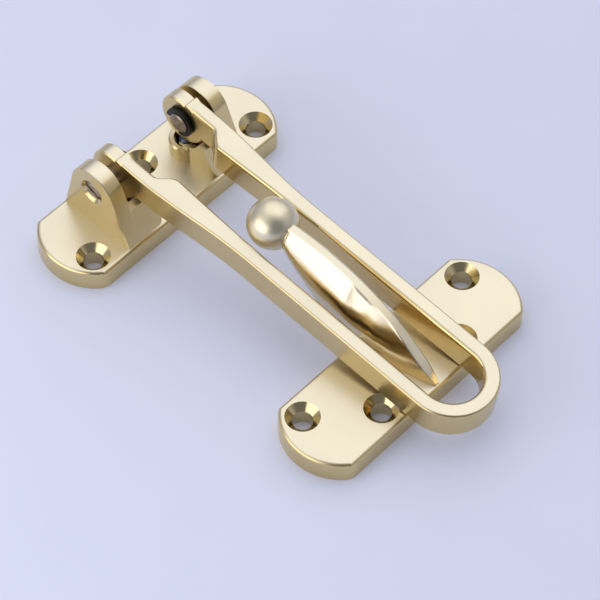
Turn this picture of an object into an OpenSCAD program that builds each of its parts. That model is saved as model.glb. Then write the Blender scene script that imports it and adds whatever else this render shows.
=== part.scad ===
// Swing bar door guard: hinge plate with two ears, slotted swing bar, keeper plate with ball arm.
// Millimetres, +Z up, plates lie on z = 0, +X runs from the hinge to the nose of the bar.

/* [Plates] */
// Length of both plates along Y
plate_len = 73.4; // [66:0.1:84]
// Width of both plates along X
plate_w = 24; // [23:0.1:27]
// Thickness of both plates
plate_t = 6; // [4.5:0.1:7]
// Radius of the rounded plate ends
end_r = 15; // [14:0.1:18]
// Radius of the small corners between end and long edge
corner_r = 4; // [2:0.1:6]
// Softened top edge of the plates
edge_r = 1.1; // [0.4:0.1:1.6]

/* [Screw holes] */
// Diameter of the screw holes
hole_d = 5.2; // [4:0.1:5.6]
// Diameter of the countersinks at the surface
sink_d = 8.7; // [7.5:0.1:9]
// Distance of the outer hinge plate holes from the ends of the plate
hinge_hole_inset = 7.65; // [6:0.05:9]
// Distance of the outer hinge plate holes in front of the plate centre
hinge_hole_x = 6.1; // [5:0.1:7]
// Distance of the middle hinge plate hole behind the plate centre
hinge_mid_x = 6.3; // [5:0.1:7]
// Distance of the outer keeper plate holes from the ends of the plate
keeper_hole_inset = 8; // [6.5:0.05:9.5]
// Distance along Y between the two inner holes of the keeper plate
keeper_inner_pitch = 28.2; // [27:0.1:34]
// Distance of the keeper holes from the keeper plate centre line
keeper_hole_x = 6; // [5:0.1:7]

/* [Ears and shoulders] */
// Distance over the outer faces of the two ears
ear_span = 41.5; // [40.8:0.1:44]
// How far the pair of ears sits off the middle of the plate, to the left
ear_shift = 0.75; // [0:0.05:0.9]
// Thickness of one ear
ear_t = 4.6; // [3.5:0.1:5.5]
// Radius of the round head of an ear
ear_head_r = 7; // [6.2:0.1:7.4]
// Pivot centre in front of the hinge plate centre
pivot_x = -1.3; // [-2.5:0.1:0]
// Height of the pivot centre above the back of the plates
pivot_z = 18; // [17.6:0.1:20]
// Gap between the two shoulder blocks
shoulder_gap = 17.6; // [16.4:0.1:18]
// Height of the shoulder ledge in front of the knuckles
ledge_z = 14.3; // [13:0.1:14.6]
// Radius of the round boss that holds a detent ball
boss_r = 5; // [4.7:0.1:5.3]
// Height of the flat top of the bosses
boss_z = 9.9; // [9.4:0.1:10.2]

/* [Swing bar] */
// Length of the bar from pivot to nose
bar_reach = 110.4; // [104:0.1:124]
// Thickness of the bar
bar_t = 8.6; // [7:0.1:9]
// Height of the bar top face above the pivot centre, square to the bar
bar_top = 6.8; // [6:0.1:7]
// Slope of the bar at rest on the keeper plate, degrees
bar_slope = 5.94; // [5:0.01:6.2]
// Outer width of the bar over the two knuckles
knuckle_span = 28.2; // [27:0.1:29]
// Outer radius of a knuckle
knuckle_r = 7.15; // [6.9:0.05:7.4]
// Thickness of a knuckle along the pin
knuckle_t = 3.9; // [3.4:0.1:4.4]
// Outer width of the bar along its parallel part and round nose
bar_w = 23.8; // [23:0.1:25]
// Width of the slot along its parallel part
slot_w = 15.5; // [15:0.1:16.2]
// Width of the slot just past the inner shoulders
slot_neck_w = 13.4; // [13.2:0.1:14.4]
// Rounded inner top edge of the slot
slot_edge_r = 1.2; // [0.5:0.1:1.6]
// Rounded outer edges of the bar
bar_edge_r = 0.7; // [0.3:0.1:1.2]

/* [Pins and rings] */
// Diameter of the hinge pins
pin_d = 5.5; // [5:0.1:6]
// How far a pin stands out of the knuckle on the inside
pin_out = 1.7; // [1.6:0.05:2.4]
// Diameter of the bevelled mouth of the pin holes in the ears
mouth_d = 7.1; // [6.6:0.1:7.4]
// Outer diameter of a retaining ring
ring_d = 8.4; // [7.8:0.1:9.4]
// Thickness of a retaining ring
ring_t = 0.9; // [0.6:0.05:0.95]

/* [Detents] */
// Diameter of the detent balls
detent_d = 6.2; // [5.4:0.1:6.4]
// Wire thickness of the detent springs
spring_wire = 0.6; // [0.4:0.05:0.7]

/* [Keeper arm] */
// Distance of the keeper plate centre in front of the hinge plate centre
keeper_x = 82.2; // [80:0.1:83]
// Diameter of the keeper ball
keeper_ball_d = 13.1; // [11:0.1:13.4]
// Distance of the ball centre behind the front edge of the keeper plate
arm_reach = 54.7; // [52:0.1:57]
// Height of the ball centre above the back of the plate
keeper_ball_z = 21.4; // [21:0.1:23]
// Height of the highest part of the arm ridge
ridge_z = 24.8; // [24.2:0.1:26]
// Width of the flat ridge along the arm
ridge_w = 2.6; // [1.6:0.1:3.2]
// Greatest width of the arm
arm_w = 9.8; // [8:0.1:11]
// Diameter of the stud that holds the ball
stud_d = 3; // [2.4:0.1:3.4]
// Length of the stud from the ball centre
stud_len = 10.1; // [9:0.1:11]

/* [Fits] */
// Radial clearance of the knuckles on the pins
run_fit = 0.05; // [0.02:0.01:0.1]
// Gap between moving parts that do not bear on each other
part_gap = 0.3; // [0.25:0.01:0.4]

/* [Hidden] */
$fn = 72;
eps = 0.01;
brass = [0.86, 0.78, 0.58];
olive = [0.72, 0.70, 0.56];
steel = [0.60, 0.62, 0.66];
black = [0.10, 0.10, 0.12];
ear_out = ear_span / 2;
ear_in = ear_out - ear_t;
hinge_hole_pitch = plate_len - 2 * hinge_hole_inset;
keeper_outer_pitch = plate_len - 2 * keeper_hole_inset;
shoulder_in = shoulder_gap / 2;
seat_r = knuckle_r + part_gap + 0.1;
knuckle_out = knuckle_span / 2;
knuckle_in = knuckle_out - knuckle_t;
knuckle_mid = (knuckle_out + knuckle_in) / 2;
ring_in = knuckle_in - part_gap - ring_t;
pin_end = knuckle_in - pin_out;
groove_d = pin_d - 1;
detent_bore_d = detent_d + 2 * run_fit;
detent_z = pivot_z - knuckle_r - 0.08 - detent_d / 2;
detent_floor = 1.2;
spring_d = detent_d - 0.7;
keeper_front = keeper_x + plate_w / 2;
ball_x = keeper_front - arm_reach;
arm_start = ball_x + 0.39 * keeper_ball_d;
arm_tip = keeper_front - 0.9;

// The tables along the bar are in millimetres of a bar of this reach, and follow it
bar_part = bar_reach / 110.4;

// Half width of the bar outside against the distance from the pivot
function outer_half(x) = bar_w / 2 + (knuckle_out - bar_w / 2) * lookup(x / bar_part, [
    [0, 1], [6, 1], [10, 0.97], [14, 0.89], [18, 0.77], [22, 0.62], [26, 0.45],
    [30, 0.28], [34, 0.13], [38, 0.04], [42, 0]]);

// Half width of the slot against the distance from the pivot
function inner_half(x) = x / bar_part < 15.2
    ? slot_neck_w / 2 + (knuckle_in - slot_neck_w / 2) * lookup(x / bar_part, [
        [0, 1], [10.2, 1], [11, 0.93], [14.1, 0.07], [15.2, 0]])
    : slot_neck_w / 2 + (slot_w / 2 - slot_neck_w / 2) * lookup(x / bar_part, [
        [15.2, 0], [22, 0.28], [30, 0.58], [38, 0.82], [46, 0.95], [54, 1]]);

// The two straight edges of an ear run from its feet to the round head, which they touch
foot_front = [plate_w / 2 - 0.8, plate_t];
foot_back = [-plate_w / 2 + 0.5, plate_t];
head = [pivot_x, pivot_z];
tan_front = atan2(foot_front[1] - head[1], foot_front[0] - head[0]) + acos(ear_head_r / norm(foot_front - head));
tan_back = 360 + atan2(foot_back[1] - head[1], foot_back[0] - head[0]) - acos(ear_head_r / norm(foot_back - head));

// Front slope of the ears and shoulders: x against height
function front_x(z) = foot_front[0] - tan(tan_front) * (z - plate_t);

// Soft profile of half a plate: half width w, height t, rounded top edge r
function soft_edge(w, t, r) = concat([[0, 0], [w, 0]],
    [for (a = [0 : 22.5 : 90]) [w - r + r * cos(a), t - r + r * sin(a)]], [[0, t]]);

// Soft profile of the whole plate width
function soft_slab(w, t, r) = concat([[-w, 0], [w, 0]],
    [for (a = [0 : 22.5 : 90]) [w - r + r * cos(a), t - r + r * sin(a)]],
    [for (a = [90 : 22.5 : 180]) [r - w + r * cos(a), t - r + r * sin(a)]]);

module countersunk_hole(x, y) {
    translate([x, y, -eps]) cylinder(h = plate_t + 2 * eps, d = hole_d);
    translate([x, y, plate_t - (sink_d - hole_d) / 2])
        cylinder(h = (sink_d - hole_d) / 2 + eps, d1 = hole_d, d2 = sink_d + 2 * eps);
}

// Cutter for one small corner of the plate
module corner_cut() {
    cx = plate_w / 2 - corner_r;
    cy = plate_len / 2 - end_r + sqrt(pow(end_r - corner_r, 2) - pow(cx, 2));
    ay = atan2(cy - (plate_len / 2 - end_r), cx);
    translate([0, 0, -eps]) linear_extrude(plate_t + 2 * eps) difference() {
        polygon([[cx, cy], [cx + 2 * corner_r, cy],
            [cx + 2 * corner_r * cos(ay), cy + 2 * corner_r * sin(ay)]]);
        translate([cx, cy]) circle(r = corner_r);
    }
}

module plate_blank() {
    difference() {
        intersection() {
            translate([0, plate_len / 2, 0]) rotate([90, 0, 0]) linear_extrude(plate_len)
                polygon(soft_slab(plate_w / 2, plate_t, edge_r));
            union() {
                for (s = [-1, 1]) translate([0, s * (plate_len / 2 - end_r), 0])
                    rotate_extrude($fn = 96) polygon(soft_edge(end_r, plate_t, edge_r));
                translate([-plate_w, -(plate_len / 2 - end_r), 0])
                    cube([2 * plate_w, plate_len - 2 * end_r, plate_t]);
            }
        }
        corner_cut();
        mirror([1, 0, 0]) corner_cut();
        mirror([0, 1, 0]) corner_cut();
        mirror([1, 0, 0]) mirror([0, 1, 0]) corner_cut();
    }
}

// Side outline of an ear, its head and edges shrunk by s for the softened rims
function ear_outline(s) =
    let (n = 20, r = ear_head_r - s)
    concat([[foot_back[0] + s - 0.3, plate_t - 1], [foot_back[0] + s, plate_t]],
        [for (k = [0 : n]) let (a = tan_back + (tan_front - tan_back) * k / n)
            [pivot_x + r * cos(a), pivot_z + r * sin(a)]],
        [[foot_front[0] - s, plate_t], [foot_front[0] - s, plate_t - 1]]);

// One ear with softened edges, a row of outlines from the inner to the outer face
module ear() {
    soft = 0.35;
    rows = [[ear_in, soft], [ear_in + soft * 0.3, soft * 0.3], [ear_in + soft, 0],
        [ear_out - soft, 0], [ear_out - soft * 0.3, soft * 0.3], [ear_out, soft]];
    loft([for (r = rows) [for (p = ear_outline(r[1])) [p[0], r[0], p[1]]]]);
}

// Shoulder block in front of the pivot: rounded inner corner, the round seat of the knuckle
// cut out of its top
module shoulder() {
    r = 2.2;
    x1 = foot_front[0] - 0.12;
    y1 = ear_in + ear_shift + 0.8;
    front = [for (k = [0 : 4]) let (z = ledge_z + (plate_t - ledge_z) * k / 4) [front_x(z) - 0.12, z]];
    difference() {
        intersection() {
            translate([0, y1, 0]) rotate([90, 0, 0]) linear_extrude(y1 - shoulder_in)
                polygon(concat([[pivot_x, plate_t - 1], [pivot_x, ledge_z]], front, [[x1, plate_t - 1]]));
            translate([0, 0, plate_t - 1]) linear_extrude(pivot_z) union() {
                translate([pivot_x, shoulder_in + r]) square([x1 - pivot_x, y1 - shoulder_in - r]);
                translate([pivot_x, shoulder_in]) square([x1 - pivot_x - r, r + 1]);
                translate([x1 - r, shoulder_in + r]) circle(r = r);
            }
        }
        translate([pivot_x, y1 - 0.5, pivot_z]) rotate([90, 0, 0])
            cylinder(h = y1 - shoulder_in + 0.5, r = seat_r, $fn = 96);
    }
    boss(y1);
}

// Round boss round the detent bore, joined to the ear at y1
module boss(y1) {
    c = 0.4;
    h = boss_z - plate_t + 1;
    translate([pivot_x, knuckle_mid, plate_t - 1]) {
        rotate_extrude($fn = 96) polygon([[0, 0], [boss_r, 0], [boss_r, h - c], [boss_r - c, h], [0, h]]);
        translate([0, y1 - knuckle_mid, 0]) rotate([90, 0, 0]) linear_extrude(y1 - knuckle_mid)
            polygon([[-boss_r, 0], [0.5, 0], [0.5, h - 0.05], [0.4, h], [c - boss_r, h], [-boss_r, h - c]]);
    }
}

module hinge_plate() color(brass) {
    difference() {
        union() {
            plate_blank();
            for (s = [0, 1]) translate([0, -ear_shift, 0]) mirror([0, s, 0]) ear();
            for (s = [0, 1]) mirror([0, s, 0]) shoulder();
        }
        for (s = [-1, 1]) countersunk_hole(hinge_hole_x, s * hinge_hole_pitch / 2);
        countersunk_hole(-hinge_mid_x, 0);
        for (s = [0, 1]) translate([0, -ear_shift, 0]) mirror([0, s, 0]) pin_hole();
        for (s = [-1, 1]) translate([pivot_x, s * knuckle_mid, 0]) {
            translate([0, 0, detent_floor]) cylinder(h = pivot_z, d = detent_bore_d);
            translate([0, 0, boss_z - 0.5])
                cylinder(h = 0.5 + eps, d1 = detent_bore_d, d2 = detent_bore_d + 1 + 2 * eps);
        }
    }
}

// Hole of a pin through one ear, with its bevelled mouth on the outer face
module pin_hole() {
    m = (mouth_d - pin_d) / 2;
    translate([pivot_x, 0, pivot_z]) rotate([-90, 0, 0]) {
        translate([0, 0, ear_in - 1]) cylinder(h = ear_t + 2, d = pin_d);
        translate([0, 0, ear_out - m]) cylinder(h = m + eps, d1 = pin_d, d2 = mouth_d + 2 * eps);
    }
}

// Solid through a row of closed outlines that all have the same number of points
module loft(rings) {
    n = len(rings);
    m = len(rings[0]);
    polyhedron(points = [for (r = rings) for (p = r) p],
        faces = concat(
            [[for (j = [0 : m - 1]) j]],
            [[for (j = [m - 1 : -1 : 0]) (n - 1) * m + j]],
            [for (i = [0 : n - 2]) for (j = [0 : m - 1])
                [i * m + j, (i + 1) * m + j, (i + 1) * m + (j + 1) % m]],
            [for (i = [0 : n - 2]) for (j = [0 : m - 1])
                [i * m + j, (i + 1) * m + (j + 1) % m, i * m + (j + 1) % m]]));
}

// Distances from the hinge of the outlines along one arm of the bar
nose_x = bar_reach - bar_w / 2;
arm_rows = [0.3, 3, 6, 8, 10, 10.6, 11.4, 12.1, 12.9, 13.7, 14.5, 15.4, 18, 20, 22, 24, 26, 28, 30,
    32, 34, 36, 38, 42, 46, 54, 70];

// Plan points of one bar section: inner point and outer point, s is the side
function arm_pair(x, s) = [[x, s * inner_half(x)], [x, s * outer_half(x)]];
function nose_pair(a) = [[nose_x + slot_w / 2 * cos(a), slot_w / 2 * sin(a)],
    [nose_x + bar_w / 2 * cos(a), bar_w / 2 * sin(a)]];

// Section of the bar between two plan points, with rounded edges
function bar_section(pair) =
    let (w = norm(pair[1] - pair[0]), d = (pair[1] - pair[0]) / w,
        zt = bar_top, zb = bar_top - bar_t, ri = slot_edge_r, ro = bar_edge_r, rb = 0.4,
        flat = concat(
            [for (a = [180 : -30 : 90]) [ri + ri * cos(a), zt - ri + ri * sin(a)]],
            [for (a = [90 : -30 : 0]) [w - ro + ro * cos(a), zt - ro + ro * sin(a)]],
            [for (a = [0 : -45 : -90]) [w - ro + ro * cos(a), zb + ro + ro * sin(a)]],
            [for (a = [-90 : -45 : -180]) [rb + rb * cos(a), zb + rb + rb * sin(a)]]))
    [for (p = flat) [pair[0][0] + d[0] * p[0], pair[0][1] + d[1] * p[0], p[1]]];

// Round eye at the hinge end of one arm, with softened rims
module eye(r) {
    c = 0.35;
    rotate([90, 0, 0]) rotate_extrude($fn = 96) polygon([
        [0, -knuckle_t / 2], [r - c, -knuckle_t / 2], [r, c - knuckle_t / 2],
        [r, knuckle_t / 2 - c], [r - c, knuckle_t / 2], [0, knuckle_t / 2]]);
}

// The top of each eye is a smaller round that touches the large one at its back
crown_k = 0.22 * knuckle_r;
crown_at = [crown_k * cos(150), crown_k * sin(150)];
crown_r = knuckle_r - crown_k;
crown_z = knuckle_r * sin(150);

// What stands above the crowns, back to the step where the top of the arm begins
module crown_cut() {
    step_x = 0.35;
    rotate([90, 0, 0]) linear_extrude(2 * knuckle_span, center = true)
        polygon([[step_x, crown_z], [step_x, bar_top - 0.5], [step_x + 0.6, bar_top + 0.1],
            [step_x + 0.6, 2 * knuckle_r], [-2 * knuckle_r, 2 * knuckle_r], [-2 * knuckle_r, crown_z]]);
}

module swing_bar() color(brass) {
    translate([pivot_x, 0, pivot_z]) rotate([0, bar_slope, 0]) difference() {
        union() {
            difference() {
                union() {
                    loft(concat(
                        [for (x = arm_rows) bar_section(arm_pair(x * bar_part, -1))],
                        [for (a = [-90 : 7.5 : 90]) bar_section(nose_pair(a))],
                        [for (i = [len(arm_rows) - 1 : -1 : 0]) bar_section(arm_pair(arm_rows[i] * bar_part, 1))]));
                    for (s = [-1, 1]) translate([0, s * knuckle_mid, 0]) eye(knuckle_r);
                }
                crown_cut();
            }
            for (s = [-1, 1]) translate([crown_at[0], s * knuckle_mid, crown_at[1]]) eye(crown_r);
        }
        translate([0.3, -knuckle_span, bar_top]) cube([knuckle_r, 2 * knuckle_span, knuckle_r]);
        for (s = [-1, 1]) translate([0, s * knuckle_mid, 0]) rotate([90, 0, 0])
            cylinder(h = knuckle_t + 2, d = pin_d + 2 * run_fit, center = true);
    }
}

// Pin from the outer face of an ear at y = out to the inside of the knuckle, with the ring
// groove and the driver slot
module hinge_pin(out) {
    c = 0.3;
    g = ring_in - 0.05;
    e = out - 0.35;
    translate([pivot_x, 0, pivot_z]) rotate([-90, 0, 0]) difference() {
        rotate_extrude() polygon([[0, pin_end], [pin_d / 2 - c, pin_end], [pin_d / 2, pin_end + c],
            [pin_d / 2, g], [groove_d / 2, g], [groove_d / 2, g + ring_t + 0.1],
            [pin_d / 2, g + ring_t + 0.1], [pin_d / 2, e - 2 * c], [pin_d / 2 - 2 * c, e], [0, e]]);
        translate([0, 0, e - 0.6]) rotate([0, 0, 27])
            translate([-pin_d, -0.4, 0]) cube([2 * pin_d, 0.8, 1]);
    }
}

module hinge_pin_right() color(steel) hinge_pin(ear_out - ear_shift);

module hinge_pin_left() color(steel) mirror([0, 1, 0]) hinge_pin(ear_out + ear_shift);

// Open ring in the pin groove, its opening toward the back and below
module pin_ring() {
    translate([pivot_x, ring_in, pivot_z]) rotate([-90, 0, 0]) difference() {
        cylinder(h = ring_t, d = ring_d);
        translate([0, 0, -eps]) cylinder(h = ring_t + 2 * eps, d = groove_d + 0.04);
        translate([0, 0, -eps]) linear_extrude(ring_t + 2 * eps)
            polygon([[0, 0], [-2 * ring_d, -0.1 * ring_d], [-2 * ring_d, 2 * ring_d], [-0.1 * ring_d, 2 * ring_d]]);
    }
}

module pin_ring_right() color(black) pin_ring();

module pin_ring_left() color(black) mirror([0, 1, 0]) pin_ring();

module detent_ball() {
    translate([pivot_x, knuckle_mid, detent_z]) sphere(d = detent_d);
}

module detent_ball_right() color(steel) detent_ball();

module detent_ball_left() color(steel) mirror([0, 1, 0]) detent_ball();

// Coil spring from the floor of the bore to the underside of the ball
module detent_spring() {
    rc = (spring_d - spring_wire) / 2;
    zt = detent_z - sqrt(pow(detent_d / 2 + spring_wire / 2 + 0.03, 2) - pow(rc, 2));
    zb = detent_floor + spring_wire / 2;
    turns = 4;
    steps = 14;
    translate([pivot_x, knuckle_mid, 0]) loft([for (i = [0 : turns * steps])
        let (a = 360 * i / steps, f = i / (turns * steps),
            z = zb + (zt - zb) * f)
        [for (b = [0 : 60 : 300]) let (r = rc + spring_wire / 2 * cos(b))
            [r * cos(a), r * sin(a), z + spring_wire / 2 * sin(b)]]]);
}

module detent_spring_right() color(steel) detent_spring();

module detent_spring_left() color(steel) mirror([0, 1, 0]) detent_spring();

// Keeper arm: height of the ridge and of the underside, half width, all against the
// share of the way from the ball (0) to the pointed foot (1)
function ridge_h(u) = plate_t + (ridge_z - plate_t) * lookup(u, [
    [0, 0.985], [0.04, 1], [0.17, 1], [0.24, 0.993], [0.306, 0.972], [0.373, 0.942], [0.44, 0.902],
    [0.507, 0.853], [0.573, 0.793], [0.641, 0.717], [0.71, 0.628], [0.757, 0.552], [0.804, 0.463],
    [0.852, 0.362], [0.907, 0.252], [0.955, 0.15], [1, 0.03]]);
function under_h(u) = plate_t - 1 + (keeper_ball_z - 0.244 * keeper_ball_d - plate_t + 1) * lookup(u, [
    [0, 1], [0.066, 0.89], [0.148, 0.70], [0.23, 0.51], [0.313, 0.345], [0.396, 0.21], [0.478, 0.1],
    [0.54, 0.03], [0.6, 0], [1, 0]]);
function arm_half(u) = arm_w / 2 * lookup(u, [
    [0, 0.53], [0.066, 0.73], [0.148, 0.88], [0.23, 0.96], [0.313, 1], [0.42, 1], [0.52, 0.96],
    [0.62, 0.88], [0.72, 0.75], [0.82, 0.57], [0.9, 0.41], [0.955, 0.27], [1, 0.14]]);

// Section of the keeper arm, square to X
function arm_section(u) =
    let (x = arm_start - 0.8 + (arm_tip - arm_start + 0.8) * u,
        zt = ridge_h(u), zb = under_h(u), w = arm_half(u), r = min(ridge_w / 2, w * 0.8),
        vm = 0.6 + 0.4 * min(1, u * 1.6), wb = w * (0.35 + 0.65 * min(1, u * 1.6)),
        side = [for (v = [0.025, 0.08, 0.17, 0.29, 0.43, 0.58, 0.73, 0.87, 0.96])
            [v < vm ? r + (w - r) * pow(sin(90 * v / vm), 0.8)
                : wb + (w - wb) * cos(90 * (v - vm) / max(0.01, 1 - vm)), zt + (zb - zt) * v]])
    concat([[x, -r * 0.8, zt]], [for (p = side) [x, -p[0], p[1]]], [[x, -wb * 0.8, zb], [x, wb * 0.8, zb]],
        [for (i = [len(side) - 1 : -1 : 0]) [x, side[i][0], side[i][1]]], [[x, r * 0.8, zt]]);

module keeper_arm() {
    loft([for (i = [0 : 30]) arm_section(pow(i / 30, 0.92))]);
}

module keeper_plate() color(brass) {
    difference() {
        union() {
            translate([keeper_x, 0, 0]) plate_blank();
            keeper_arm();
        }
        for (s = [-1, 1]) {
            countersunk_hole(keeper_x - keeper_hole_x, s * keeper_outer_pitch / 2);
            countersunk_hole(keeper_x + keeper_hole_x, s * keeper_inner_pitch / 2);
        }
        translate([ball_x, 0, keeper_ball_z]) sphere(d = keeper_ball_d + 0.04, $fn = 96);
        translate([ball_x, 0, keeper_ball_z]) rotate([0, 90, 0]) cylinder(h = stud_len + 0.5, d = stud_d);
    }
}

module keeper_ball() color(olive) {
    translate([ball_x, 0, keeper_ball_z]) union() {
        sphere(d = keeper_ball_d, $fn = 96);
        rotate([0, 90, 0]) cylinder(h = stud_len, d = stud_d);
    }
}

hinge_plate();
swing_bar();
hinge_pin_left();
hinge_pin_right();
pin_ring_left();
pin_ring_right();
detent_ball_left();
detent_ball_right();
detent_spring_left();
detent_spring_right();
keeper_plate();
keeper_ball();
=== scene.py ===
import bpy
import bmesh
import math
from mathutils import Matrix, Vector


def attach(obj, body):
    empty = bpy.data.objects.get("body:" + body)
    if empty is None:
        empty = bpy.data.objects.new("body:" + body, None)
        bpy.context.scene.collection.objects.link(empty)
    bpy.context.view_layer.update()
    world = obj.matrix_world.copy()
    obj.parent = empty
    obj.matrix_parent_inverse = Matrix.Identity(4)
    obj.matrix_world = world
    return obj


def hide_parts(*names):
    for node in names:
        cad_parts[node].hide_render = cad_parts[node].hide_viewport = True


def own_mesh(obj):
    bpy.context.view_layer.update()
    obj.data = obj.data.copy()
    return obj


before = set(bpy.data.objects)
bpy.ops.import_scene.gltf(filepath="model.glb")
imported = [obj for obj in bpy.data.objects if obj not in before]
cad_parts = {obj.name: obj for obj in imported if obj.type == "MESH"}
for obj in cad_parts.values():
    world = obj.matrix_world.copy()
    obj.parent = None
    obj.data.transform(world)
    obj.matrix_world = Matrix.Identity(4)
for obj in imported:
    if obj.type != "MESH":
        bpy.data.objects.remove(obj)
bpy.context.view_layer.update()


def mm(value):
    return value / 1000


def hexColour(code, alpha=1.0):
    # sRGB hex to the linear values that the shaders take
    parts = [int(code[i:i + 2], 16) / 255 for i in (1, 3, 5)]
    return [c / 12.92 if c <= 0.04045 else ((c + 0.055) / 1.055) ** 2.4 for c in parts] + [alpha]


def addNode(tree, kind, settings=None, links=None):
    # settings name a property, a socket or a ramp's stops; links name a socket and what feeds it
    node = tree.nodes.new(kind)
    for key, value in (settings or {}).items():
        if key == "stops":
            bar = node.color_ramp.elements
            while len(bar) < len(value):
                bar.new(0.5)
            for element, (place, colour) in zip(bar, value):
                element.position = place
                element.color = hexColour(colour) if isinstance(colour, str) else (colour, colour, colour, 1)
        elif isinstance(key, str) and hasattr(node, key):
            setattr(node, key, value)
        else:
            node.inputs[key].default_value = value
    for key, source in (links or {}).items():
        tree.links.new(source, node.inputs[key])
    return node


def addObject(name, data):
    thing = bpy.data.objects.new(name, data)
    bpy.context.scene.collection.objects.link(thing)
    return thing


def addMesh(name, shape):
    mesh = bpy.data.meshes.new(name)
    shape.to_mesh(mesh)
    shape.free()
    return addObject(name, mesh)


def direction(azimuth, elevation):
    # a unit vector from two angles in degrees, the first counted from +X
    a, e = math.radians(azimuth), math.radians(elevation)
    return Vector((math.cos(e) * math.cos(a), math.cos(e) * math.sin(a), math.sin(e)))


def newMaterial(name):
    material = bpy.data.materials.new(name)
    material.use_nodes = True
    material.node_tree.nodes.clear()
    return material, material.node_tree


studio = {
    "target": (0.049289, -0.000653, 0.0),  # what the camera and the lamps aim at
    "azimuth": -47.605,     # degrees from +X round to the camera
    "elevation": 53.366,
    "roll": 0.739,
    "distance": 0.73903,
    "lens": 180.07,
    "sensor": 36,
    "clip": (0.01, 20),
    "floorHalf": 1.6,       # from the paper's middle to its edge
    "floorPlace": (0.05, 0, -0.00005),
    "floorColour": "#E0E5FA",
    "fibreColour": "#DCE1F7",
    "floorGlow": 0.08,      # the backlit paper's own light
    "worldTop": "#E4E5EC",
    "worldSide": "#8E8F9C",
    "worldStrength": 0.95,
    "darkSide": (-30, 34),  # azimuth and elevation of the room's unlit side
    "darkFrom": 0.62,       # cosines of where its edge starts and ends
    "darkTo": 0.90,
    "darkColour": "#7B7C84",
}

lamps = {  # azimuth, elevation, distance, width and height, watts, colour
    "overhead softbox": (116, 55, 0.75, (1.10, 1.10), 1.75, "#FFFDF8"),
    "front panel": (-104, 21, 0.385, (0.46, 0.27), 0.56, "#FFFCFC"),
}


def placeCamera(look):
    roll = math.radians(look["roll"])
    back = direction(look["azimuth"], look["elevation"])
    right = (-back).cross(Vector((0, 0, 1))).normalized()
    up = right.cross(-back)
    side = right * math.cos(roll) + up * math.sin(roll)
    top = up * math.cos(roll) - right * math.sin(roll)
    place = Matrix((side, top, back)).transposed().to_4x4()
    place.translation = Vector(look["target"]) + back * look["distance"]
    data = bpy.data.cameras.new("camera")
    data.lens = look["lens"]
    data.sensor_width = look["sensor"]
    data.clip_start, data.clip_end = look["clip"]
    camera = addObject("camera", data)
    camera.matrix_world = place
    bpy.context.scene.camera = camera


def addLamp(name, azimuth, elevation, distance, size, power, colour):
    away = direction(azimuth, elevation)
    data = bpy.data.lights.new(name, "AREA")
    data.shape = "RECTANGLE"
    data.size, data.size_y = size
    data.energy = power
    data.color = hexColour(colour)[:3]
    lamp = addObject(name, data)
    lamp.location = Vector(studio["target"]) + away * distance
    lamp.rotation_mode = "QUATERNION"
    lamp.rotation_quaternion = away.to_track_quat("Z", "Y")


def paperFloor(look):
    shape = bmesh.new()
    bmesh.ops.create_grid(shape, x_segments=2, y_segments=2, size=look["floorHalf"])
    bmesh.ops.translate(shape, verts=shape.verts, vec=look["floorPlace"])
    floor = addMesh("floor", shape)
    material, tree = newMaterial("matte studio paper")
    # heavy uncoated paper: no gloss, a very faint mottle from its fibres
    place = addNode(tree, "ShaderNodeTexCoord")
    fibre = addNode(tree, "ShaderNodeTexNoise", {"Scale": 45.0, "Detail": 3.0},
                    {"Vector": place.outputs["Object"]})
    tint = addNode(tree, "ShaderNodeMix", {"data_type": "RGBA", 6: hexColour(look["floorColour"]),
                                           7: hexColour(look["fibreColour"])}, {0: fibre.outputs["Fac"]})
    paper = addNode(tree, "ShaderNodeBsdfPrincipled",
                    {"Roughness": 0.95, "Specular IOR Level": 0.1, "Emission Strength": look["floorGlow"]},
                    {"Base Color": tint.outputs[2], "Emission Color": tint.outputs[2]})
    addNode(tree, "ShaderNodeOutputMaterial", {}, {"Surface": paper.outputs["BSDF"]})
    floor.data.materials.append(material)


def roomLight(look):
    world = bpy.data.worlds.new("studio")
    bpy.context.scene.world = world
    world.use_nodes = True
    tree = world.node_tree
    tree.nodes.clear()
    place = addNode(tree, "ShaderNodeTexCoord")
    split = addNode(tree, "ShaderNodeSeparateXYZ", {}, {"Vector": place.outputs["Generated"]})
    height = addNode(tree, "ShaderNodeMapRange", {"From Min": -0.1, "From Max": 0.8},
                     {"Value": split.outputs["Z"]})
    sky = addNode(tree, "ShaderNodeValToRGB", {"stops": [(0.0, look["worldSide"]), (1.0, look["worldTop"])]},
                  {"Fac": height.outputs["Result"]})
    # the unlit side of the studio, which the ball and the rounded edges mirror as a dark band
    near = addNode(tree, "ShaderNodeVectorMath", {"operation": "DOT_PRODUCT", 1: direction(*look["darkSide"])},
                   {0: place.outputs["Generated"]})
    patch = addNode(tree, "ShaderNodeMapRange", {"From Min": look["darkFrom"], "From Max": look["darkTo"]},
                    {"Value": near.outputs["Value"]})
    room = addNode(tree, "ShaderNodeMix", {"data_type": "RGBA", 7: hexColour(look["darkColour"])},
                   {0: patch.outputs["Result"], 6: sky.outputs["Color"]})
    glow = addNode(tree, "ShaderNodeBackground", {"Strength": look["worldStrength"]}, {"Color": room.outputs[2]})
    addNode(tree, "ShaderNodeOutputWorld", {}, {"Surface": glow.outputs["Background"]})


placeCamera(studio)
paperFloor(studio)
roomLight(studio)
for lampName, setting in lamps.items():
    addLamp(lampName, *setting)
bpy.context.scene.view_settings.view_transform = "Standard"
print("studio ready")


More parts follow.
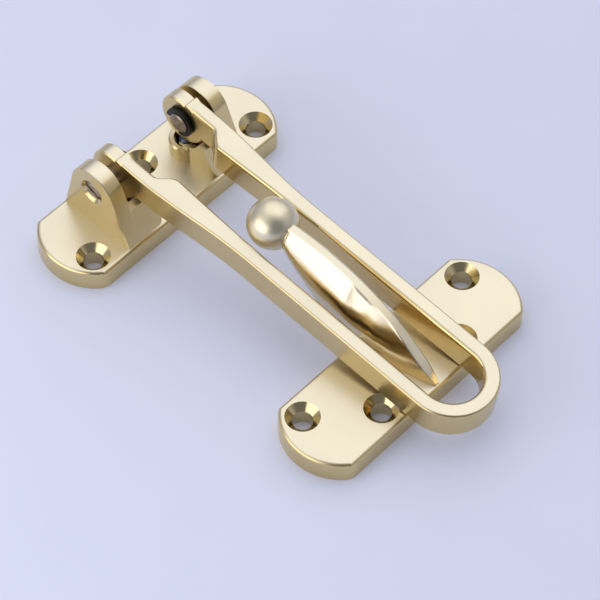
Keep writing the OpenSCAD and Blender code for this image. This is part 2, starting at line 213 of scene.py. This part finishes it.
def grainLines(tree, place, across, spacing, stretch=40.0):
    # brushing leaves fine lines: noise squeezed across them and drawn out along them
    size = [1 / (spacing * stretch)] * 3
    for axis in across:
        size[axis] = 1 / spacing
    mapped = addNode(tree, "ShaderNodeMapping", {"Scale": size}, {"Vector": place})
    return addNode(tree, "ShaderNodeTexNoise", {"Scale": 1.0, "Detail": 4.0, "Roughness": 0.6},
                   {"Vector": mapped.outputs["Vector"]}).outputs["Fac"]


brassSkin = {
    "upFrom": 0.80, "upTo": 0.96,  # how level a face has to be to take the brush
    "brushRoughness": 0.05,        # how far the lines move the roughness either way
    "sideScratch": 0.01,
    "polishedGrit": 0.004,
    "reliefHeight": 0.02,          # millimetres
    "maskSoft": 0.25,              # millimetres, half the width of a mask's edge
    "sinkSoft": 0.06,
}


def satinBrass(name, look):
    # cast brass, brushed and lacquered: pale gold on the upward faces, where it is brushed, and that paleness is a
    # painted highlight from the overhead softbox; deeper and sharper where polished
    material, tree = newMaterial(name)
    place = addNode(tree, "ShaderNodeTexCoord")
    spot = place.outputs["Object"]
    facing = addNode(tree, "ShaderNodeSeparateXYZ", {}, {"Vector": place.outputs["Normal"]})
    lines = grainLines(tree, spot, look["acrossBrush"], mm(look["brushSpacing"]))
    cloud = addNode(tree, "ShaderNodeTexNoise", {"Scale": 1 / mm(look["cloudSize"]), "Detail": 3.0}, {"Vector": spot})
    grit = addNode(tree, "ShaderNodeTexNoise", {"Scale": 1 / mm(look["gritSize"]), "Detail": 2.0}, {"Vector": spot})
    # upward faces took the brush, the rest keeps the smoother cast and tumbled skin; the same mask also paints the
    # upward faces lighter, as painted light from above
    up = addNode(tree, "ShaderNodeMapRange", {"From Min": brassSkin["upFrom"], "From Max": brassSkin["upTo"]},
                 {"Value": facing.outputs["Z"]})
    rough = addNode(tree, "ShaderNodeMapRange", {"To Min": look["sideRoughness"], "To Max": look["topRoughness"]},
                    {"Value": up.outputs["Result"]})
    shiny = rough.outputs["Result"]
    # painted highlight: upward faces take the lighter top colour, the rest the side colour
    gold = addNode(tree, "ShaderNodeMix", {"data_type": "RGBA", 6: hexColour(look["sideColour"]),
                                           7: hexColour(look["litTopColour"])}, {0: up.outputs["Result"]}).outputs[2]
    matt = None  # where the skin keeps its grit
    for low, high, roughness in look.get("polished", []):
        inside = boxMask(tree, spot, low, high)
        keep = addNode(tree, "ShaderNodeMath", {"operation": "SUBTRACT", 0: 1.0}, {1: up.outputs["Result"]})
        part = addNode(tree, "ShaderNodeMath", {"operation": "MULTIPLY"}, {0: inside, 1: keep.outputs[0]})
        shiny = addNode(tree, "ShaderNodeMix", {"data_type": "FLOAT", 3: roughness},
                        {0: part.outputs[0], 2: shiny}).outputs[0]
        matt = addNode(tree, "ShaderNodeMapRange", {"To Min": look["gritDepth"], "To Max": brassSkin["polishedGrit"]},
                       {"Value": part.outputs[0]})
        gold = addNode(tree, "ShaderNodeMix", {"data_type": "RGBA", 7: hexColour(look["polishColour"])},
                       {0: part.outputs[0], 6: gold}).outputs[2]
    for x, y, radius in look.get("countersinks", []):
        ring = ringMask(tree, spot, x, y, radius)
        shiny = addNode(tree, "ShaderNodeMix", {"data_type": "FLOAT", 3: look["sinkRoughness"]},
                        {0: ring, 2: shiny}).outputs[0]
        gold = addNode(tree, "ShaderNodeMix", {"data_type": "RGBA", 7: hexColour(look["sinkColour"])},
                       {0: ring, 6: gold}).outputs[2]
    wobble = addNode(tree, "ShaderNodeMapRange",
                     {"To Min": -brassSkin["brushRoughness"], "To Max": brassSkin["brushRoughness"]}, {"Value": lines})
    shiny = addNode(tree, "ShaderNodeMath", {"operation": "MULTIPLY_ADD", "use_clamp": True},
                    {0: wobble.outputs["Result"], 1: up.outputs["Result"], 2: shiny}).outputs[0]
    shade = addNode(tree, "ShaderNodeValToRGB", {"stops": [(0.3, 0.93), (0.7, 1.0)]}, {"Fac": cloud.outputs["Fac"]})
    tint = addNode(tree, "ShaderNodeMix", {"data_type": "RGBA", "blend_type": "MULTIPLY", 0: 1.0},
                   {6: gold, 7: shade.outputs["Color"]})
    brushed = addNode(tree, "ShaderNodeMapRange", {"To Min": brassSkin["sideScratch"], "To Max": look["brushDepth"]},
                      {"Value": up.outputs["Result"]})
    relief = mm(brassSkin["reliefHeight"])
    scratch = addNode(tree, "ShaderNodeBump", {"Distance": relief},
                      {"Height": lines, "Strength": brushed.outputs["Result"]})
    pits = addNode(tree, "ShaderNodeBump", {"Strength": look["gritDepth"], "Distance": relief},
                   {"Height": grit.outputs["Fac"], "Normal": scratch.outputs["Normal"]})
    if matt:
        tree.links.new(matt.outputs["Result"], pits.inputs["Strength"])
    metal = addNode(tree, "ShaderNodeBsdfPrincipled", {"Metallic": 1.0, "Coat Weight": 0.12, "Coat Roughness": 0.25},
                    {"Base Color": tint.outputs[2], "Roughness": shiny, "Normal": pits.outputs["Normal"]})
    addNode(tree, "ShaderNodeOutputMaterial", {}, {"Surface": metal.outputs["BSDF"]})
    return material


def boxMask(tree, spot, low, high):
    # 1 inside a box given in millimetres, with soft edges
    result = None
    soft = mm(brassSkin["maskSoft"])
    split = addNode(tree, "ShaderNodeSeparateXYZ", {}, {"Vector": spot})
    for axis in range(3):
        for edge, sign in ((low[axis], 1), (high[axis], -1)):
            if edge is None:
                continue
            step = addNode(tree, "ShaderNodeMapRange",
                           {"From Min": mm(edge) - sign * soft, "From Max": mm(edge) + sign * soft},
                           {"Value": split.outputs[axis]})
            out = step.outputs["Result"]
            result = out if result is None else addNode(
                tree, "ShaderNodeMath", {"operation": "MULTIPLY"}, {0: result, 1: out}).outputs[0]
    return result


def ringMask(tree, spot, x, y, radius):
    # 1 inside an upright cylinder given in millimetres
    flat = addNode(tree, "ShaderNodeVectorMath", {"operation": "MULTIPLY", 1: (1, 1, 0)}, {0: spot})
    far = addNode(tree, "ShaderNodeVectorMath", {"operation": "DISTANCE", 1: (mm(x), mm(y), 0)},
                  {0: flat.outputs[0]})
    soft = brassSkin["sinkSoft"]
    step = addNode(tree, "ShaderNodeMapRange", {"From Min": mm(radius + soft), "From Max": mm(radius - soft)},
                   {"Value": far.outputs["Value"]})
    return step.outputs["Result"]


def plainMetal(name, look):
    # turned, drawn or blackened small parts: a cloudy colour and a fine grit that breaks up the shine
    material, tree = newMaterial(name)
    spot = addNode(tree, "ShaderNodeTexCoord").outputs["Object"]
    cloud = addNode(tree, "ShaderNodeTexNoise", {"Scale": 1 / mm(look["cloudSize"]), "Detail": 4.0}, {"Vector": spot})
    grit = addNode(tree, "ShaderNodeTexNoise", {"Scale": 1 / mm(look["gritSize"]), "Detail": 2.0}, {"Vector": spot})
    colour = addNode(tree, "ShaderNodeValToRGB", {"stops": [(0.3, look["darkColour"]), (0.7, look["lightColour"])]},
                     {"Fac": cloud.outputs["Fac"]}).outputs["Color"]
    shiny = addNode(tree, "ShaderNodeMapRange",
                    {"To Min": look["roughness"] - 0.06, "To Max": look["roughness"] + 0.06},
                    {"Value": grit.outputs["Fac"]})
    pits = addNode(tree, "ShaderNodeBump", {"Strength": look["gritDepth"], "Distance": mm(0.02)},
                   {"Height": grit.outputs["Fac"]})
    metal = addNode(tree, "ShaderNodeBsdfPrincipled", {"Metallic": look["metallic"]},
                    {"Base Color": colour, "Roughness": shiny.outputs["Result"], "Normal": pits.outputs["Normal"]})
    addNode(tree, "ShaderNodeOutputMaterial", {}, {"Surface": metal.outputs["BSDF"]})
    return material


def weldedSkin(nodeName):
    shape = bmesh.new()
    shape.from_mesh(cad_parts[nodeName].data)
    bmesh.ops.remove_doubles(shape, verts=shape.verts, dist=mm(0.002))
    return shape


def leanFlank(shape, look):
    # the cast arm's near flank leans more than the loft's, which is what lets it mirror the front panel
    near, far = look["sideways"]
    rows = {}
    for vert in shape.verts:
        x, y, z = (value * 1000 for value in vert.co)
        offBore = math.hypot(y, z - look["boreHeight"]) > look["boreRadius"]
        if look["from"] < x < look["to"] and near < y < far and z > look["foot"] and offBore:
            rows.setdefault(round(x, 1), []).append(vert)
    for x, row in rows.items():
        ridge = max(vert.co.z for vert in row) * 1000
        wide = -min(vert.co.y for vert in row) * 1000
        waist = min(row, key=lambda vert: vert.co.y).co.z * 1000
        lean = look["lean"] - look["leanLoss"] * max(0, x - look["leanLossFrom"])
        keep = min(1, max(0, (x - look["fadeFrom"]) / look["fadeOver"]))
        for vert in row:
            if vert.co.z * 1000 >= waist:
                part = (look["ridgeHalf"] + lean * (ridge - vert.co.z * 1000)) / wide
                if part > look["bendTo"]:
                    part = 1
                elif part >= look["bendFrom"]:
                    part = 1 - (look["bendTo"] - part) ** 2 / look["bendSoftness"]
                vert.co.y = keep * vert.co.y - mm((1 - keep) * part * wide)
    shape.normal_update()


def smoothCasting(look):
    # welds the node's loose triangles into one skin, so that light runs smoothly over the lofted forms
    shape = weldedSkin(look["node"])
    bmesh.ops.dissolve_limit(shape, angle_limit=math.radians(0.15), verts=shape.verts, edges=shape.edges,
                             use_dissolve_boundaries=False, delimit=set())
    if "flank" in look:
        leanFlank(shape, look["flank"])
    crease = math.radians(look["creaseDegrees"])
    for face in shape.faces:
        face.smooth = True
    for edge in shape.edges:
        edge.smooth = len(edge.link_faces) == 2 and edge.calc_face_angle(0) < crease
    piece = addMesh(look["name"], shape)
    mesh = piece.data
    if "custom_normal" in mesh.attributes:
        mesh.attributes.remove(mesh.attributes["custom_normal"])
    steady = piece.modifiers.new("steady flats", "WEIGHTED_NORMAL")
    steady.mode = "FACE_AREA"
    steady.keep_sharp = True
    mesh.materials.append(look["material"])
    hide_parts(look["node"])
    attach(piece, look["body"])
    print(look["name"], len(mesh.vertices), "vertices,", len(mesh.polygons), "faces")


hingeLook = {
    "node": "hinge_plate", "name": "hinge_casting", "body": "base", "slot": "satin_brass",
    "creaseDegrees": 30,
    "litTopColour": "#EDE4CB", "sideColour": "#DFCA94",
    "topRoughness": 0.36, "sideRoughness": 0.22,
    "acrossBrush": (0, 2), "brushSpacing": 0.16, "brushDepth": 0.10,
    "cloudSize": 14, "gritSize": 0.35, "gritDepth": 0.06,
    "sinkRoughness": 0.16, "sinkColour": "#DCCB9C",
    "countersinks": [(6.1, 29.05, 4.35), (6.1, -29.05, 4.35), (-6.3, 0, 4.35)],  # x, y and radius in millimetres
}
hingeLook["material"] = satinBrass("satin lacquered brass, hinge", hingeLook)
smoothCasting(hingeLook)

barLook = {
    "node": "swing_bar", "name": "swing_bar_casting", "body": "bar", "slot": "satin_brass",
    "creaseDegrees": 34,
    "litTopColour": "#EDE4CB", "sideColour": "#DFCA94", "polishColour": "#E4CC94",
    "topRoughness": 0.36, "sideRoughness": 0.30,
    "acrossBrush": (1, 2), "brushSpacing": 0.16, "brushDepth": 0.10,
    "cloudSize": 16, "gritSize": 0.35, "gritDepth": 0.06,
    "polished": [((8, -8.3, None), (105, 8.3, None), 0.12)],  # two corners in millimetres, roughness
}
barLook["material"] = satinBrass("satin lacquered brass, bar", barLook)
smoothCasting(barLook)

keeperLook = {
    "node": "keeper_plate", "name": "keeper_casting", "body": "base", "slot": "satin_brass",
    "creaseDegrees": 30,
    # the polished flank is polished brass made paler than the bar's polished walls: partly a painted highlight that
    # whitens its reflection of the front panel
    "litTopColour": "#EDE4CB", "sideColour": "#DFCA94", "polishColour": "#EEE2C6",
    "topRoughness": 0.36, "sideRoughness": 0.30,
    "acrossBrush": (0, 2), "brushSpacing": 0.16, "brushDepth": 0.10,
    "cloudSize": 14, "gritSize": 0.35, "gritDepth": 0.06,
    "sinkRoughness": 0.16, "sinkColour": "#DCCB9C",
    "countersinks": [(76.2, 28.7, 4.35), (76.2, -28.7, 4.35), (88.2, 14.1, 4.35), (88.2, -14.1, 4.35)],
    "polished": [((42, -7, 6.3), (95, 7, None), 0.21)],
    "flank": {  # millimetres
        "from": 44, "to": 86, "foot": 6.45, "sideways": (-6, -0.9), "ridgeHalf": 0.75,
        "boreHeight": 21.4, "boreRadius": 1.7,      # the stud's hole stays round
        "lean": 0.68,                               # run over drop
        "leanLossFrom": 66, "leanLoss": 0.014,      # less lean with each millimetre towards the foot
        "fadeFrom": 76, "fadeOver": 10,             # where the loft's own side comes back
        "bendFrom": 0.85, "bendTo": 1.15, "bendSoftness": 0.6,  # the turn into the belly, as shares of the width
    },
}
keeperLook["material"] = satinBrass("satin lacquered brass, keeper", keeperLook)
smoothCasting(keeperLook)
print("castings ready")


ballLook = {
    "darkColour": "#E3D9B8", "lightColour": "#ECE3C8", "roughness": 0.36, "metallic": 1.0,
    "cloudSize": 5, "gritSize": 0.3, "gritDepth": 0.015,
}
turnedBrass = plainMetal("turned satin brass", ballLook)  # pale, with broad soft lights and a dark band

pinLook = {
    "darkColour": "#8A7B6C", "lightColour": "#B8AB98", "roughness": 0.42, "metallic": 1.0,
    "cloudSize": 1.2, "gritSize": 0.25, "gritDepth": 0.2,
}
pinSteel = plainMetal("dulled plated steel", pinLook)  # brownish grey, blotchy and low in shine

ringLook = {
    "darkColour": "#0E0E12", "lightColour": "#1B1B21", "roughness": 0.34, "metallic": 0.6,
    "cloudSize": 1.5, "gritSize": 0.25, "gritDepth": 0.15,
}
blackOxide = plainMetal("black oxide steel", ringLook)  # near black, with a weak oily edge light

# the detent balls' dark bluish colours are painted shade and painted reflection, not the steel's own colour
detentLook = {
    "darkColour": "#3A3D47", "lightColour": "#555A66", "roughness": 0.11, "metallic": 1.0,
    "cloudSize": 2.5, "gritSize": 0.3, "gritDepth": 0.03,
}
paintedShadeBallSteel = plainMetal("polished bearing steel, painted shade", detentLook)  # dark and bluish: painted shade from the knuckle and seat around it and a painted reflection of the blue paper, with one sharp highlight

smallParts = {
    "keeper_ball": turnedBrass,
    "hinge_pin_left": pinSteel, "hinge_pin_right": pinSteel,
    "pin_ring_left": blackOxide, "pin_ring_right": blackOxide,
    "detent_ball_left": paintedShadeBallSteel, "detent_ball_right": paintedShadeBallSteel,
}
for nodeName, finish in smallParts.items():
    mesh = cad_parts[nodeName].data
    mesh.materials.clear()
    mesh.materials.append(finish)
print("small parts ready")


springLook = {
    "darkColour": "#85868C", "lightColour": "#A9AAAE", "roughness": 0.3, "metallic": 1.0,
    "cloudSize": 1.5, "gritSize": 0.2, "gritDepth": 0.1,
    "press": 0.6,  # millimetres that the ball sinks at the joint's limit
}
wireSteel = plainMetal("drawn spring wire", springLook)  # plain grey, with a thin bright line along each coil
for side in ("left", "right"):
    node = "detent_spring_" + side
    shape = weldedSkin(node)
    for face in shape.faces:
        face.smooth = True
    coil = addMesh("spring_coil_" + side, shape)
    coil.data.materials.append(wireSteel)
    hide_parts(node)
    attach(coil, "base")
    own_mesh(coil)
print("springs ready")
